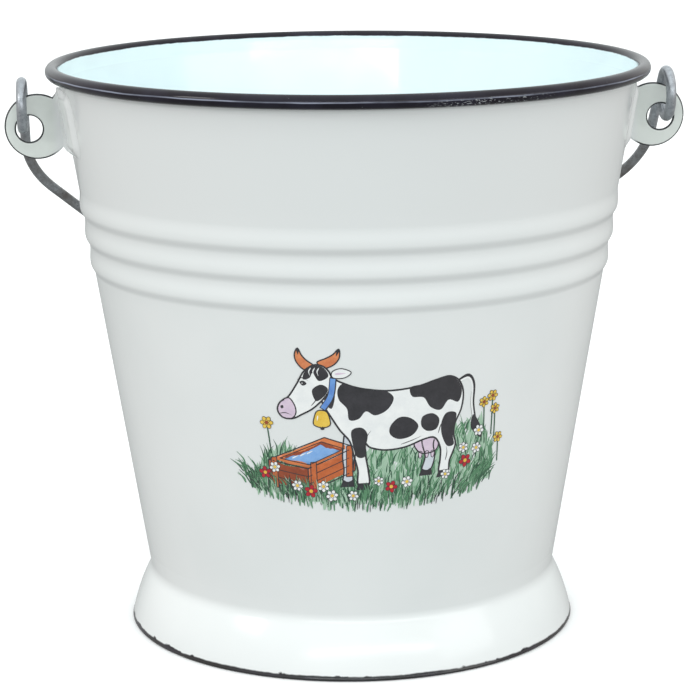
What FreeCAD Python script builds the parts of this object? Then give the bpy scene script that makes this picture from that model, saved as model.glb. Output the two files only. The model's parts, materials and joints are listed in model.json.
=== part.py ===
import FreeCAD, Part
import math
import os

# Enamelled steel milk pail with a wire bail and a wooden grip. Millimetres, +Z up.
# The origin is the centre of the circle that the foot rests on. The ears are on the X axis,
# the printed picture faces -Y, and the bail at rest hangs down behind the pail, on +Y.

# --- pail body ---
SHEET = 1.0                    # enamelled sheet, radial thickness of the wall
RIM_OUTER_R = 145.0
ROLL_CENTRE_Z = 272.9          # centre of the rolled rim's section
WALL_BASE_R = 95.8             # where the wall's outer cone would meet the floor
WALL_TAPER = 0.16              # radius gained per millimetre of height
WALL_BOTTOM_Z = 26.9           # crease between wall and foot ring
WALL_TOP_Z = 270.6             # the dark rim sheet starts here
BEAD_LOWEST_Z = 178.2          # middle of the lowest bead's steep lower flank
BEAD_PITCHES = (13.6, 13.4, 13.8)
BEAD_FLANK = 0.17              # half of the short lower flank, as a share of the pitch
BEAD_HEIGHT = 1.3              # how far a bead's crest stands proud of the cone
BEAD_HALFWAY = 0.75            # half way along a flank, as a share of that height

# --- rolled rim ---
ROLL_END_ANGLE = -125.0        # where the curled sheet stops, under the roll
RIM_WIRE_PLAY = 0.15

# --- bottom and foot ---
PAN_SHEET = 1.2
PAN_UNDERSIDE_Z = 24.6
PAN_CORNER_R = 6.0
PAN_FLANGE_TOP_Z = 40.0
FOOT_R = 110.0
FOOT_MID = (106.6, 12.5)       # a point half way down the flare: radius, height
FOOT_SHEET = 1.2
HEM_WIDTH = 2.2                # folded lower edge that the pail stands on
HEM_HEIGHT = 2.0

# --- ears ---
EAR_SHEET = 1.8
EAR_DISC_R = 15.7
EAR_DISC_X = 149.3
EAR_DISC_Z = 246.6
EAR_HOLE_R = 6.3
EAR_HOLE_X = 153.2
EAR_HOLE_Z = 245.6
EAR_BEND_R = 1.5               # inside radius of the fold
EAR_FOOT_Z = (234.5, 265.5)    # the folded foot that is welded to the wall
EAR_FOOT_ANGLE = 15.5          # degrees of the wall that the foot covers
EAR_CORNER_R = 7.0
EAR_NECK_IN = 0.4              # the neck joins the disc this far inside its centre, in disc radii
EAR_NECK_UP = 0.92             # and reaches this far up the disc

# --- bail ---
WIRE_R = 2.5
EYE_R = 11.1                   # centre line of the closed eye
EYE_X = 156.2
EYE_WRAP = 300.0               # degrees of wire in an eye
BAIL_REACH = 185.0             # from the hinge line to the straight middle
SHOULDER_CORNER = 57.6         # where the leg and the slanted run would cross
SHOULDER_R = 55.0
SLANT = 51.0                   # slanted run, degrees from the hinge line
MIDDLE_BEND_R = 14.0
HANG_ANGLE = 49.8              # below the horizontal: the grip stops just short of the wall

# --- grip ---
GRIP_LENGTH = 88.0
GRIP_MIDDLE_R = 12.0
GRIP_END_R = 9.6
GRIP_EDGE = 1.6                # rounding of each end
GRIP_BORE_R = 2.85

# --- fired print on the front wall ---
PRINT_Z = (79.0, 161.5)
PRINT_ARC = 140.0              # width along the wall at mid height
PRINT_GAP = 0.05
PRINT_THICKNESS = 0.2

X_AXIS = FreeCAD.Vector(1, 0, 0)
Y_AXIS = FreeCAD.Vector(0, 1, 0)
Z_AXIS = FreeCAD.Vector(0, 0, 1)
ORIGIN = FreeCAD.Vector(0, 0, 0)


def wall_radius(z):
    """Outer radius of the plain conical wall at height z."""
    return WALL_BASE_R + WALL_TAPER * z


ROLL_INNER_FACE_R = wall_radius(ROLL_CENTRE_Z) - SHEET
ROLL_R = (RIM_OUTER_R - ROLL_INNER_FACE_R) / 2
ROLL_CENTRE_R = RIM_OUTER_R - ROLL_R
HINGE_Z = EAR_HOLE_Z + EYE_R


def section_point(r, z):
    return FreeCAD.Vector(r, 0, z)


def straight(start, end):
    return Part.LineSegment(section_point(*start), section_point(*end)).toShape()


def curved(start, middle, end):
    return Part.Arc(section_point(*start), section_point(*middle), section_point(*end)).toShape()


def revolved(edges, angle=360.0):
    """Turn a closed outline in the XZ half plane about the Z axis."""
    outline = Part.Wire(Part.__sortEdges__(edges))
    return Part.Face(outline).revolve(ORIGIN, Z_AXIS, angle)


def point_on_circle(centre_r, centre_z, radius, degrees):
    turn = math.radians(degrees)
    return (centre_r + radius * math.cos(turn), centre_z + radius * math.sin(turn))


def moved_out(point, distance):
    return (point[0] + distance, point[1])


def wall_side(offset):
    """One face of the wall from bottom to top: straight, three beads, straight.

    A bead has a short steep flank below its crest and a long one above it.
    """
    def at(z, proud=0.0):
        return (wall_radius(z) + offset + proud, z)

    start = BEAD_LOWEST_Z - BEAD_FLANK * BEAD_PITCHES[0]
    edges = [straight(at(WALL_BOTTOM_Z), at(start))]
    for pitch in BEAD_PITCHES:
        crest = start + 2 * BEAD_FLANK * pitch
        end = start + pitch
        halfway = BEAD_HALFWAY * BEAD_HEIGHT
        crest_point = at(crest, BEAD_HEIGHT)
        edges.append(curved(at(start), at((start + crest) / 2, halfway), crest_point))
        edges.append(curved(crest_point, at((crest + end) / 2, halfway), at(end)))
        start = end
    edges.append(straight(at(start), at(WALL_TOP_Z)))
    return edges


def wall_shell():
    outer = wall_side(0.0)
    inner = wall_side(-SHEET)
    ends = []
    for z in (WALL_BOTTOM_Z, WALL_TOP_Z):
        face = (wall_radius(z), z)
        ends.append(straight(face, moved_out(face, -SHEET)))
    return revolved(outer + inner + ends)


def rim_roll():
    """The wall's upper edge, curled outwards over the rim wire."""
    curl_inner_r = ROLL_R - SHEET
    foot_out = (wall_radius(WALL_TOP_Z), WALL_TOP_Z)
    foot_in = moved_out(foot_out, -SHEET)
    middle = (180.0 + ROLL_END_ANGLE) / 2

    def on_roll(radius, degrees):
        return point_on_circle(ROLL_CENTRE_R, ROLL_CENTRE_Z, radius, degrees)

    return revolved([
        straight(foot_in, foot_out),
        straight(foot_in, on_roll(ROLL_R, 180)),
        curved(on_roll(ROLL_R, 180), on_roll(ROLL_R, middle), on_roll(ROLL_R, ROLL_END_ANGLE)),
        straight(on_roll(ROLL_R, ROLL_END_ANGLE), on_roll(curl_inner_r, ROLL_END_ANGLE)),
        curved(on_roll(curl_inner_r, 180), on_roll(curl_inner_r, middle),
               on_roll(curl_inner_r, ROLL_END_ANGLE)),
        straight(on_roll(curl_inner_r, 180), foot_out),
    ])


def rim_wire():
    """Stiffening wire that the rim is rolled over."""
    return Part.makeTorus(ROLL_CENTRE_R, ROLL_R - SHEET - RIM_WIRE_PLAY,
                          FreeCAD.Vector(0, 0, ROLL_CENTRE_Z))


def bottom_pan():
    """Flat bottom with a rounded corner and a flange that laps inside the wall."""
    slope = math.atan(WALL_TAPER)
    corner_z = PAN_UNDERSIDE_Z + PAN_CORNER_R
    tangent_z = corner_z - PAN_CORNER_R * math.sin(slope)
    corner_r = wall_radius(tangent_z) - SHEET - PAN_CORNER_R * math.cos(slope)
    flange_start = -math.degrees(slope)
    flange_top = (wall_radius(PAN_FLANGE_TOP_Z) - SHEET, PAN_FLANGE_TOP_Z)
    flange_top_in = moved_out(flange_top, -PAN_SHEET / math.cos(slope))
    inner_r = PAN_CORNER_R - PAN_SHEET

    def on_corner(radius, degrees):
        return point_on_circle(corner_r, corner_z, radius, degrees)

    def corner(radius):
        return curved(on_corner(radius, -90), on_corner(radius, -45),
                      on_corner(radius, flange_start))

    centre_low = (0, PAN_UNDERSIDE_Z)
    centre_high = (0, PAN_UNDERSIDE_Z + PAN_SHEET)
    return revolved([
        straight(centre_low, on_corner(PAN_CORNER_R, -90)),
        corner(PAN_CORNER_R),
        straight(on_corner(PAN_CORNER_R, flange_start), flange_top),
        straight(flange_top, flange_top_in),
        straight(flange_top_in, on_corner(inner_r, flange_start)),
        corner(inner_r),
        straight(on_corner(inner_r, -90), centre_high),
        straight(centre_high, centre_low),
    ])


def foot_ring():
    """Flared skirt under the wall, with a folded hem."""
    top_out = (wall_radius(WALL_BOTTOM_Z), WALL_BOTTOM_Z)
    bottom_out = (FOOT_R, 0.0)
    flare = curved(top_out, FOOT_MID, bottom_out)
    centre = flare.Curve.Center
    hem_r = centre.x + math.sqrt(flare.Curve.Radius ** 2 - (HEM_HEIGHT - centre.z) ** 2)
    hem_in = (hem_r - FOOT_SHEET, HEM_HEIGHT)
    return revolved([
        flare,
        straight(top_out, moved_out(top_out, -FOOT_SHEET)),
        curved(moved_out(top_out, -FOOT_SHEET), moved_out(FOOT_MID, -FOOT_SHEET), hem_in),
        straight(hem_in, (FOOT_R - HEM_WIDTH, HEM_HEIGHT)),
        straight((FOOT_R - HEM_WIDTH, HEM_HEIGHT), (FOOT_R - HEM_WIDTH, 0)),
        straight((FOOT_R - HEM_WIDTH, 0), bottom_out),
    ])


def ear_foot():
    """Folded foot of the right ear, curved to lie on the wall on its -Y side."""
    low, high = EAR_FOOT_Z
    bend_y = EAR_SHEET / 2 + EAR_BEND_R
    corners = [(wall_radius(low), low), (wall_radius(high), high)]
    outer = [moved_out(corner, EAR_SHEET) for corner in corners]
    foot = revolved([
        straight(corners[0], corners[1]),
        straight(corners[1], outer[1]),
        straight(outer[1], outer[0]),
        straight(outer[0], corners[0]),
    ], -EAR_FOOT_ANGLE)
    beside_plate = Part.makeBox(4 * EAR_DISC_R, bend_y + 1, 2 * EAR_DISC_X)
    beside_plate.translate(FreeCAD.Vector(wall_radius(low) - 2 * EAR_DISC_R, -bend_y, 0))
    foot = foot.cut(beside_plate)
    far_y = min(vertex.Y for vertex in foot.Vertexes)
    free_corners = []
    for edge in foot.Edges:
        short = edge.Length < 1.5 * EAR_SHEET
        if short and edge.CenterOfMass.y < far_y + EAR_SHEET:
            free_corners.append(edge)
    return foot.makeFillet(EAR_CORNER_R, free_corners)


def ear_bend():
    """The quarter-round fold between the right ear's plate and its foot."""
    low, high = EAR_FOOT_Z
    outer_r = EAR_BEND_R + EAR_SHEET
    centre = FreeCAD.Vector(wall_radius(low) + outer_r, -(EAR_SHEET / 2 + EAR_BEND_R), low)
    quarter = Part.makeCylinder(outer_r, 1, centre, Z_AXIS, 90)
    quarter = quarter.cut(Part.makeCylinder(EAR_BEND_R, 1, centre, Z_AXIS, 90))
    quarter.rotate(centre, Z_AXIS, 90)
    section = min(quarter.Faces, key=lambda face: face.CenterOfMass.z)
    rise = high - low
    return section.extrude(FreeCAD.Vector(WALL_TAPER * rise, 0, rise))


def ear_plate():
    """Round plate of the right ear with its hole, trimmed where the fold starts."""
    half = EAR_SHEET / 2
    low, high = EAR_FOOT_Z
    fold = EAR_SHEET + EAR_BEND_R
    disc = Part.makeCylinder(EAR_DISC_R, EAR_SHEET,
                             FreeCAD.Vector(EAR_DISC_X, -half, EAR_DISC_Z), Y_AXIS)
    neck_x = EAR_DISC_X - EAR_NECK_IN * EAR_DISC_R
    neck_top = EAR_DISC_Z + EAR_NECK_UP * EAR_DISC_R
    neck_points = [
        (wall_radius(low), low),
        (wall_radius(low) + fold, low),
        (neck_x, EAR_DISC_Z),
        (neck_x, neck_top),
        (wall_radius(high) + fold, high),
        (wall_radius(high), high),
    ]
    outline = [FreeCAD.Vector(x, -half, z) for x, z in neck_points]
    neck = Part.Face(Part.makePolygon(outline + outline[:1])).extrude(Y_AXIS * EAR_SHEET)
    hole = Part.makeCylinder(EAR_HOLE_R, 3 * EAR_SHEET,
                             FreeCAD.Vector(EAR_HOLE_X, -1.5 * EAR_SHEET, EAR_HOLE_Z), Y_AXIS)
    top_z = 2 * EAR_DISC_Z
    trim_corners = [
        FreeCAD.Vector(0, -EAR_SHEET, 0),
        FreeCAD.Vector(wall_radius(0) + fold, -EAR_SHEET, 0),
        FreeCAD.Vector(wall_radius(top_z) + fold, -EAR_SHEET, top_z),
        FreeCAD.Vector(0, -EAR_SHEET, top_z),
    ]
    trim_face = Part.Face(Part.makePolygon(trim_corners + trim_corners[:1]))
    return disc.fuse(neck).cut(hole).cut(trim_face.extrude(Y_AXIS * 2 * EAR_SHEET))


def ear_right():
    ear = ear_plate().fuse([ear_bend(), ear_foot()])
    return ear.removeSplitter()


def ear_left():
    return ear_right().mirror(ORIGIN, X_AXIS)


def wire_along(start, end):
    """Straight piece of bail wire."""
    run = end - start
    return Part.makeCylinder(WIRE_R, run.Length, start, run)


def wire_round(start, centre, axis, degrees):
    """Bent piece of bail wire: a disc at start, turned about an axis through centre."""
    heading = axis.cross(start - centre)
    disc = Part.Face(Part.Wire(Part.makeCircle(WIRE_R, start, heading)))
    return disc.revolve(centre, axis, degrees)


def bail_half():
    """Right half of the bail, pointing along +Y from the hinge line, which is the X axis."""
    slant = math.radians(SLANT)
    shoulder_turn = 90.0 - SLANT
    shoulder_tangent = SHOULDER_R * math.tan(math.radians(shoulder_turn / 2))
    middle_tangent = MIDDLE_BEND_R * math.tan(slant / 2)
    eye_start = FreeCAD.Vector(EYE_X, 0, EYE_R)
    leg_end = FreeCAD.Vector(EYE_X, SHOULDER_CORNER - shoulder_tangent, EYE_R)
    shoulder_centre = leg_end - X_AXIS * SHOULDER_R
    down_slant = FreeCAD.Vector(-math.cos(slant), math.sin(slant), 0)
    shoulder_corner = FreeCAD.Vector(EYE_X, SHOULDER_CORNER, EYE_R)
    run_start = shoulder_corner + down_slant * shoulder_tangent
    run_length = (BAIL_REACH - SHOULDER_CORNER) / math.sin(slant)
    run_end = shoulder_corner + down_slant * (run_length - middle_tangent)
    middle_x = EYE_X - (BAIL_REACH - SHOULDER_CORNER) / math.tan(slant) - middle_tangent
    middle_end = FreeCAD.Vector(middle_x, BAIL_REACH, EYE_R)
    middle_centre = middle_end - Y_AXIS * MIDDLE_BEND_R
    pieces = [
        wire_round(eye_start, FreeCAD.Vector(EYE_X, 0, 0), X_AXIS, EYE_WRAP),
        wire_along(eye_start, leg_end),
        wire_round(leg_end, shoulder_centre, Z_AXIS, shoulder_turn),
        wire_along(run_start, run_end),
        wire_round(run_end, middle_centre, Z_AXIS, SLANT),
        wire_along(middle_end, FreeCAD.Vector(0, BAIL_REACH, EYE_R)),
    ]
    return pieces


def hung(shape):
    """Bring a shape from the bail's building pose to its place at rest."""
    shape.rotate(ORIGIN, X_AXIS, -HANG_ANGLE)
    shape.translate(FreeCAD.Vector(0, 0, HINGE_Z))
    return shape


def bail_wire():
    right = bail_half()
    left = [piece.mirror(ORIGIN, X_AXIS) for piece in right]
    wire = right[0].fuse(right[1:] + left).removeSplitter()
    return hung(wire)


def grip():
    """Turned wooden grip, fullest in the middle, bored for the bail wire."""
    half = GRIP_LENGTH / 2
    barrel = Part.Arc(FreeCAD.Vector(-half, GRIP_END_R, 0), FreeCAD.Vector(0, GRIP_MIDDLE_R, 0),
                      FreeCAD.Vector(half, GRIP_END_R, 0)).toShape()
    left_end = FreeCAD.Vector(-half, 0, 0)
    right_end = FreeCAD.Vector(half, 0, 0)
    outline = Part.Wire([
        barrel,
        Part.LineSegment(FreeCAD.Vector(half, GRIP_END_R, 0), right_end).toShape(),
        Part.LineSegment(right_end, left_end).toShape(),
        Part.LineSegment(left_end, FreeCAD.Vector(-half, GRIP_END_R, 0)).toShape(),
    ])
    body = Part.Face(outline).revolve(ORIGIN, X_AXIS, 360)
    end_edges = []
    for edge in body.Edges:
        is_circle = isinstance(edge.Curve, Part.Circle)
        if is_circle and abs(abs(edge.CenterOfMass.x) - half) < 0.01:
            end_edges.append(edge)
    body = body.makeFillet(GRIP_EDGE, end_edges)
    bore = Part.makeCylinder(GRIP_BORE_R, GRIP_LENGTH + 2, left_end - X_AXIS, X_AXIS)
    body = body.cut(bore)
    body.translate(FreeCAD.Vector(0, BAIL_REACH, EYE_R))
    return hung(body)


def transfer_print():
    """Thin fired print on the front of the wall."""
    low, high = PRINT_Z
    mid_r = wall_radius((low + high) / 2)
    angle = math.degrees(PRINT_ARC / mid_r)
    inner = [(wall_radius(z) + PRINT_GAP, z) for z in (low, high)]
    outer = [moved_out(point, PRINT_THICKNESS) for point in inner]
    patch = revolved([
        straight(inner[0], inner[1]),
        straight(inner[1], outer[1]),
        straight(outer[1], outer[0]),
        straight(outer[0], inner[0]),
    ], angle)
    patch.rotate(ORIGIN, Z_AXIS, -90 - angle / 2)
    return patch


NODES = {
    "wall_shell": wall_shell,
    "rim_roll": rim_roll,
    "rim_wire": rim_wire,
    "bottom_pan": bottom_pan,
    "foot_ring": foot_ring,
    "ear_left": ear_left,
    "ear_right": ear_right,
    "bail_wire": bail_wire,
    "grip": grip,
    "transfer_print": transfer_print,
}


def main():
    os.makedirs("parts", exist_ok=True)
    for name, build in NODES.items():
        shape = build()
        box = shape.BoundBox
        print(f"{name}: valid {shape.isValid()}, solids {len(shape.Solids)}, "
              f"volume {shape.Volume:.0f}, x {box.XMin:.2f}..{box.XMax:.2f}, "
              f"y {box.YMin:.2f}..{box.YMax:.2f}, z {box.ZMin:.2f}..{box.ZMax:.2f}")
        shape.exportStep(f"parts/{name}.step")


main()
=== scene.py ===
import cmath
import json
import math
import random

import bmesh
import bpy
from mathutils import Matrix, Vector
from mathutils.geometry import delaunay_2d_cdt


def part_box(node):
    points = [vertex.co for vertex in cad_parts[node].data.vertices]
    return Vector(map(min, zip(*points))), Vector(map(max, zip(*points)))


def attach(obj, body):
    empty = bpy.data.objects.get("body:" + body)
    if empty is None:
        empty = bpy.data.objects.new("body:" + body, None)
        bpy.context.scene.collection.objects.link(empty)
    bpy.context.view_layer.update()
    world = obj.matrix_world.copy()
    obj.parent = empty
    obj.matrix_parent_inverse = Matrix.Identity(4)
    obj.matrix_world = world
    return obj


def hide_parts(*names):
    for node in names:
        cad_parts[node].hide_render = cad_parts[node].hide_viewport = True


# An enamelled milk pail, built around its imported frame. Sizes are in millimetres unless a name
# ends in _M; the scene itself is in metres, so every mesh passes through placed().
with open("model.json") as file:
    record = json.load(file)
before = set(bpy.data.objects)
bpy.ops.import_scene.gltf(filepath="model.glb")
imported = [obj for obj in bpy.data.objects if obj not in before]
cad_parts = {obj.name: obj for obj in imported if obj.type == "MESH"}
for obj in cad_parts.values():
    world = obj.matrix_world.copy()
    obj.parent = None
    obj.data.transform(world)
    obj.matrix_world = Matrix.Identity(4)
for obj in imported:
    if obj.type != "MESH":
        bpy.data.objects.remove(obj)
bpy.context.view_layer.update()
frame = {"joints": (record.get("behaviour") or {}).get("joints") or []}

MM = 0.001
WELD_M = 1e-7
SAME_POINT = 1e-5


def box_mm(node):
    """Lowest and highest corner of a CAD node, in millimetres."""
    low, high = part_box(node)
    return low / MM, high / MM


JOINTS = {joint["name"]: joint for joint in frame["joints"]}
RIM_BOX = box_mm("rim_roll")
FOOT_BOX = box_mm("foot_ring")
GRIP_BOX = box_mm("grip")
PRINT_BOX = box_mm("transfer_print")

# --- wall, rim and foot: dimensions as in the CAD model, and heights where enamels meet ---
SHEET = 1.0
WALL_BASE_R = 95.8
WALL_TAPER = 0.16
BEAD_LOWEST_Z = 178.2
BEAD_PITCHES = (13.6, 13.4, 13.8)
BEAD_HEIGHT = 1.3
BEAD_FLANK = 0.17              # half of a bead's short lower flank, in pitches
RIM_OUTER_R = RIM_BOX[1].x
RIM_TOP_Z = RIM_BOX[1].z
ROLL_MIDDLE = 3.25             # the roll's middle lies this far below its top
ROLL_END = -125.0              # where the curl stops, in degrees round the roll
TUCK_Z = 270.6                 # the curl's free edge meets the wall here
WALL_TOP_Z = 267.0             # the rim piece takes over here
WALL_LOW_Z = 36.0              # the foot piece takes over here
FOOT_R = FOOT_BOX[1].x
FOOT_MID = (106.6, 12.5)
FOOT_SHEET = 1.2
CREASE = (100.1, 26.9)
CREASE_BLEND = 2.8
HEM_WIDTH = 2.2
HEM_ROUND = 0.7
RIM_DARK_INSIDE_Z = 273.7      # where the dark rim enamel ends on the inner face
HIGHLIGHT_LINE_Z = 273.05           # height of the painted highlight line on the curl
FOOT_DARK_Z = 2.1              # where the foot's dark hem ends
TURNS = 360                    # faces round the pail

# --- bottom ---
PAN_UNDERSIDE_Z = 24.6
PAN_SHEET = 1.2
PAN_CORNER_R = 6.0
PAN_LIP_Z = 40.0
PAN_LIP_EDGE = ((0.25, 0.3), (0.95, 2.2))  # in and down from the lip, where enamel fairs it
PAN_TURNS = 180

# --- ears ---
EAR_SHEET = 1.8
EAR_DISC_R = 15.7
EAR_DISC_X = 149.3
EAR_DISC_Z = 246.6
EAR_HOLE_R = 6.3
EAR_HOLE_X = 153.2
EAR_HOLE_Z = 245.6
EAR_BEND_R = 1.5
EAR_FOOT_Z = (234.5, 265.5)
EAR_FOOT_LENGTH = 34.5
EAR_CORNER_R = 7.0
EAR_EDGE_ROUND = 0.75
EAR_FAIRING = 4.6              # width over which the enamel fairs an ear's foot into the wall
EAR_FOOT_EDGE = 0.1            # sheet left showing at the faired border
EAR_FOLD_R = EAR_BEND_R + EAR_SHEET / 2    # along the middle of the folded sheet
EAR_FOLD_LENGTH = math.pi / 2 * EAR_FOLD_R

# --- bail ---
WIRE_R = 2.5
WIRE_SIDES = 28
WIRE_WAVER = 0.02              # how unevenly the wire is drawn, as a share of its radius
WIRE_CHAMFER = 0.45
EYE_R = 11.1
EYE_X = 156.2
EYE_WRAP = 300.0
BAIL_REACH = 185.0
SHOULDER_CORNER = 57.6
SHOULDER_R = 55.0
SLANT = 51.0
MIDDLE_BEND_R = 14.0
HANG_ANGLE = 49.8
HINGE_Z = JOINTS["bail_swing"]["pos_m"][2] / MM

# --- grip ---
GRIP_END_R = 9.6
GRIP_BORE_R = 2.85
GRIP_EDGE = 1.6                # radius of the rounded ends
GRIP_BORE_EDGE = (0.5, 0.6)    # chamfer of the bore, across and along
GROOVES_IN = (8.0, 11.5)       # from each end
GROOVE_SIZE = 0.55
GRIP_TURNS = 64

# --- print ---
PRINT_LOW_Z = PRINT_BOX[0].z + 1.0
PRINT_MID_Z = (PRINT_BOX[0].z + PRINT_BOX[1].z) / 2
PRINT_FOOT = 0.012             # underside of the ink, above the wall
PRINT_FACE = 0.06              # face of the lowest layer
PRINT_LAYER = 0.012            # from one layer to the next


def wall_radius(z):
    return WALL_BASE_R + WALL_TAPER * z


# --- Mesh helpers ---

def added(name, data):
    """A new object with this data, linked to the scene."""
    thing = bpy.data.objects.new(name, data)
    bpy.context.scene.collection.objects.link(thing)
    return thing


def placed(name, vertices, faces, body, materials, replaces, sharp=35.0,
           face_materials=None):
    """Make one closed piece from points in millimetres; tie it to its body, slot and CAD nodes."""
    mesh = bpy.data.meshes.new(name)
    mesh.from_pydata([Vector(point) * MM for point in vertices], [], faces)
    for material in materials:
        mesh.materials.append(material)
    if face_materials:
        mesh.polygons.foreach_set("material_index", face_materials)
    mesh.validate()
    work = bmesh.new()
    work.from_mesh(mesh)
    bmesh.ops.remove_doubles(work, verts=work.verts, dist=WELD_M)
    bmesh.ops.recalc_face_normals(work, faces=work.faces)
    for face in work.faces:
        face.smooth = True
    work.to_mesh(mesh)
    work.free()
    mesh.set_sharp_from_angle(angle=math.radians(sharp))
    piece = added(name, mesh)
    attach(piece, body)
    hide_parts(*replaces)


def arc_through(start, middle, end, steps):
    """Points of the circle through three (r, z) points, both ends included."""
    a, b, c = complex(*start), complex(*middle), complex(*end)
    ratio = (c - a) / (b - a)
    centre = a + (b - a) * (ratio - abs(ratio) ** 2) / (2j * ratio.imag)
    sweep = cmath.phase((c - centre) / (a - centre))
    points = [centre + (a - centre) * cmath.rect(1, sweep * i / steps) for i in range(steps + 1)]
    return [(point.real, point.imag) for point in points]


def arc_about(centre, radius, first, last, steps):
    """Points of a circle about (r, z), from one angle to another in degrees."""
    points = []
    for i in range(steps + 1):
        turn = math.radians(first + (last - first) * i / steps)
        points.append((centre[0] + radius * math.cos(turn), centre[1] + radius * math.sin(turn)))
    return points


def between(start, end, share):
    """The point at a share of the way from start to end."""
    return tuple(a + (b - a) * share for a, b in zip(start, end))


def straight_run(start, end, steps):
    return [between(start, end, i / steps) for i in range(steps + 1)]


def without_repeats(points, closed=True):
    kept = [points[0]]
    for point in points[1:]:
        if math.dist(kept[-1], point) > SAME_POINT:
            kept.append(point)
    if closed and math.dist(kept[0], kept[-1]) < SAME_POINT:
        kept.pop()
    return kept


def bridged(low, high):
    """Quads between two closed rings of vertex numbers."""
    following = [(i + 1) % len(low) for i in range(len(low))]
    return [[low[i], low[j], high[j], high[i]] for i, j in enumerate(following)]


def lathe_mesh(outline, turns):
    """A closed (r, z) outline turned about Z. Points on the axis are shared."""
    vertices, rings = [], []
    for r, z in outline:
        first = len(vertices)
        if r < SAME_POINT:
            rings.append([first] * turns)
            vertices.append((0.0, 0.0, z))
            continue
        rings.append(range(first, first + turns))
        for i in range(turns):
            turn = 2 * math.pi * i / turns
            vertices.append((r * math.cos(turn), r * math.sin(turn), z))
    faces = []
    for low, high in zip(rings, rings[1:] + rings[:1]):
        for quad in bridged(low, high):
            corners = list(dict.fromkeys(quad))
            if len(corners) > 2:
                faces.append(corners)
    return vertices, faces


def turned_piece(name, outline, turns, enamel, nodes):
    """A piece of the pail, turned from its closed (r, z) outline."""
    vertices, faces = lathe_mesh(without_repeats(outline), turns)
    placed(name, vertices, faces, "pail", [enamel], nodes, sharp=50)


# --- Material helpers ---

class Value:
    """The output of a shader node. Arithmetic on it adds the node that works it out."""

    def __init__(self, nodes, socket):
        self.nodes = nodes
        self.socket = socket

    def __add__(self, other):
        return self.nodes.math("ADD", self, other)

    def __sub__(self, other):
        return self.nodes.math("SUBTRACT", self, other)

    def __rsub__(self, other):
        return self.nodes.math("SUBTRACT", other, self)

    def __mul__(self, other):
        return self.nodes.math("MULTIPLY", self, other)


class Nodes:
    """Adds shader nodes to a material or a world."""

    def __init__(self, owner, coordinates="Object"):
        owner.use_nodes = True
        self.owner = owner
        self.tree = owner.node_tree
        self.place = self.node("TexCoord", {}, coordinates)

    def fill(self, node, inputs):
        """Link values to a node's inputs, and set constants on them."""
        for key, source in inputs.items():
            if isinstance(source, Value):
                self.tree.links.new(source.socket, node.inputs[key])
            else:
                node.inputs[key].default_value = source

    def node(self, kind, inputs, output, **settings):
        node = self.tree.nodes.new("ShaderNode" + kind)
        for key, setting in settings.items():
            setattr(node, key, setting)
        self.fill(node, inputs)
        return Value(self, node.outputs[output])

    def math(self, operation, a, b=0.0):
        return self.node("Math", {0: a, 1: b}, "Value", operation=operation)

    def vector(self, operation, a, b, output="Vector"):
        return self.node("VectorMath", {0: a, 1: b}, output, operation=operation)

    def axis(self, name, vector=None):
        """One coordinate of a vector, or of the place that is shaded."""
        return self.node("SeparateXYZ", {0: vector or self.place}, name)

    def noise(self, scale, detail=3.0, roughness=0.5, vector=None):
        inputs = {"Scale": scale, "Detail": detail, "Roughness": roughness}
        return self.node("TexNoise", {"Vector": vector or self.place, **inputs}, "Fac")

    def wobble(self, scale, detail, amount):
        """Noise that swings half of an amount to either side of nought."""
        return (self.noise(scale, detail) - 0.5) * amount

    def cells(self, scale, output="Distance"):
        return self.node("TexVoronoi", {"Vector": self.place, "Scale": scale}, output)

    def mapped(self, vector, scale, offset=(0.0, 0.0, 0.0)):
        inputs = {"Vector": vector, "Scale": scale, "Location": offset}
        return self.node("Mapping", inputs, "Vector")

    def ramp(self, value, low, high, out_low=0.0, out_high=1.0):
        """Straight ramp from low to high, held level beyond them."""
        inputs = {"From Min": low, "From Max": high, "To Min": out_low, "To Max": out_high}
        return self.node("MapRange", {"Value": value, **inputs}, "Result")

    def mix(self, factor, a, b):
        return self.node("Mix", {"Factor": factor, "A": a, "B": b}, "Result", data_type="RGBA")

    def bump(self, height, distance_m, strength):
        inputs = {"Height": height, "Distance": distance_m, "Strength": strength}
        return self.node("Bump", inputs, "Normal")

    def finish(self, colour, roughness, normal=None, metallic=0.0, coat=0.0, specular=0.5):
        """Wire up the material's shader and return the material."""
        inputs = {"Base Color": colour, "Roughness": roughness, "Metallic": metallic,
                  "Coat Weight": coat, "Specular IOR Level": specular}
        if normal:
            inputs["Normal"] = normal
        self.fill(self.tree.nodes["Principled BSDF"], inputs)
        return self.owner


def material_nodes(name):
    return Nodes(bpy.data.materials.new(name))


def linear(red, green, blue):
    """An 8-bit sRGB colour as the linear RGBA that a shader socket takes."""
    channels = []
    for value in (red, green, blue):
        value /= 255
        channels.append(value / 12.92 if value <= 0.04045 else ((value + 0.055) / 1.055) ** 2.4)
    return (*channels, 1.0)


OUTER_WHITE = linear(223, 227, 227)
OUTER_SHADE = linear(217, 222, 222)
# painted shade colour for the outer wall high up
OUTER_PAINTED_SHADE = linear(216, 220, 220)
INNER_WHITE = linear(222, 238, 240)
INNER_SHADE = linear(216, 232, 236)
ENAMEL_DARK = linear(22, 19, 28)
ENAMEL_DARK_THIN = linear(36, 35, 48)
# painted highlight colour for the pale line on the rim's curl
PAINTED_HIGHLIGHT = linear(138, 144, 160)
HEM_DARK = linear(9, 9, 13)
PINHOLE = linear(92, 94, 92)
BARE_SPECK = linear(170, 175, 178)

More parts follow.
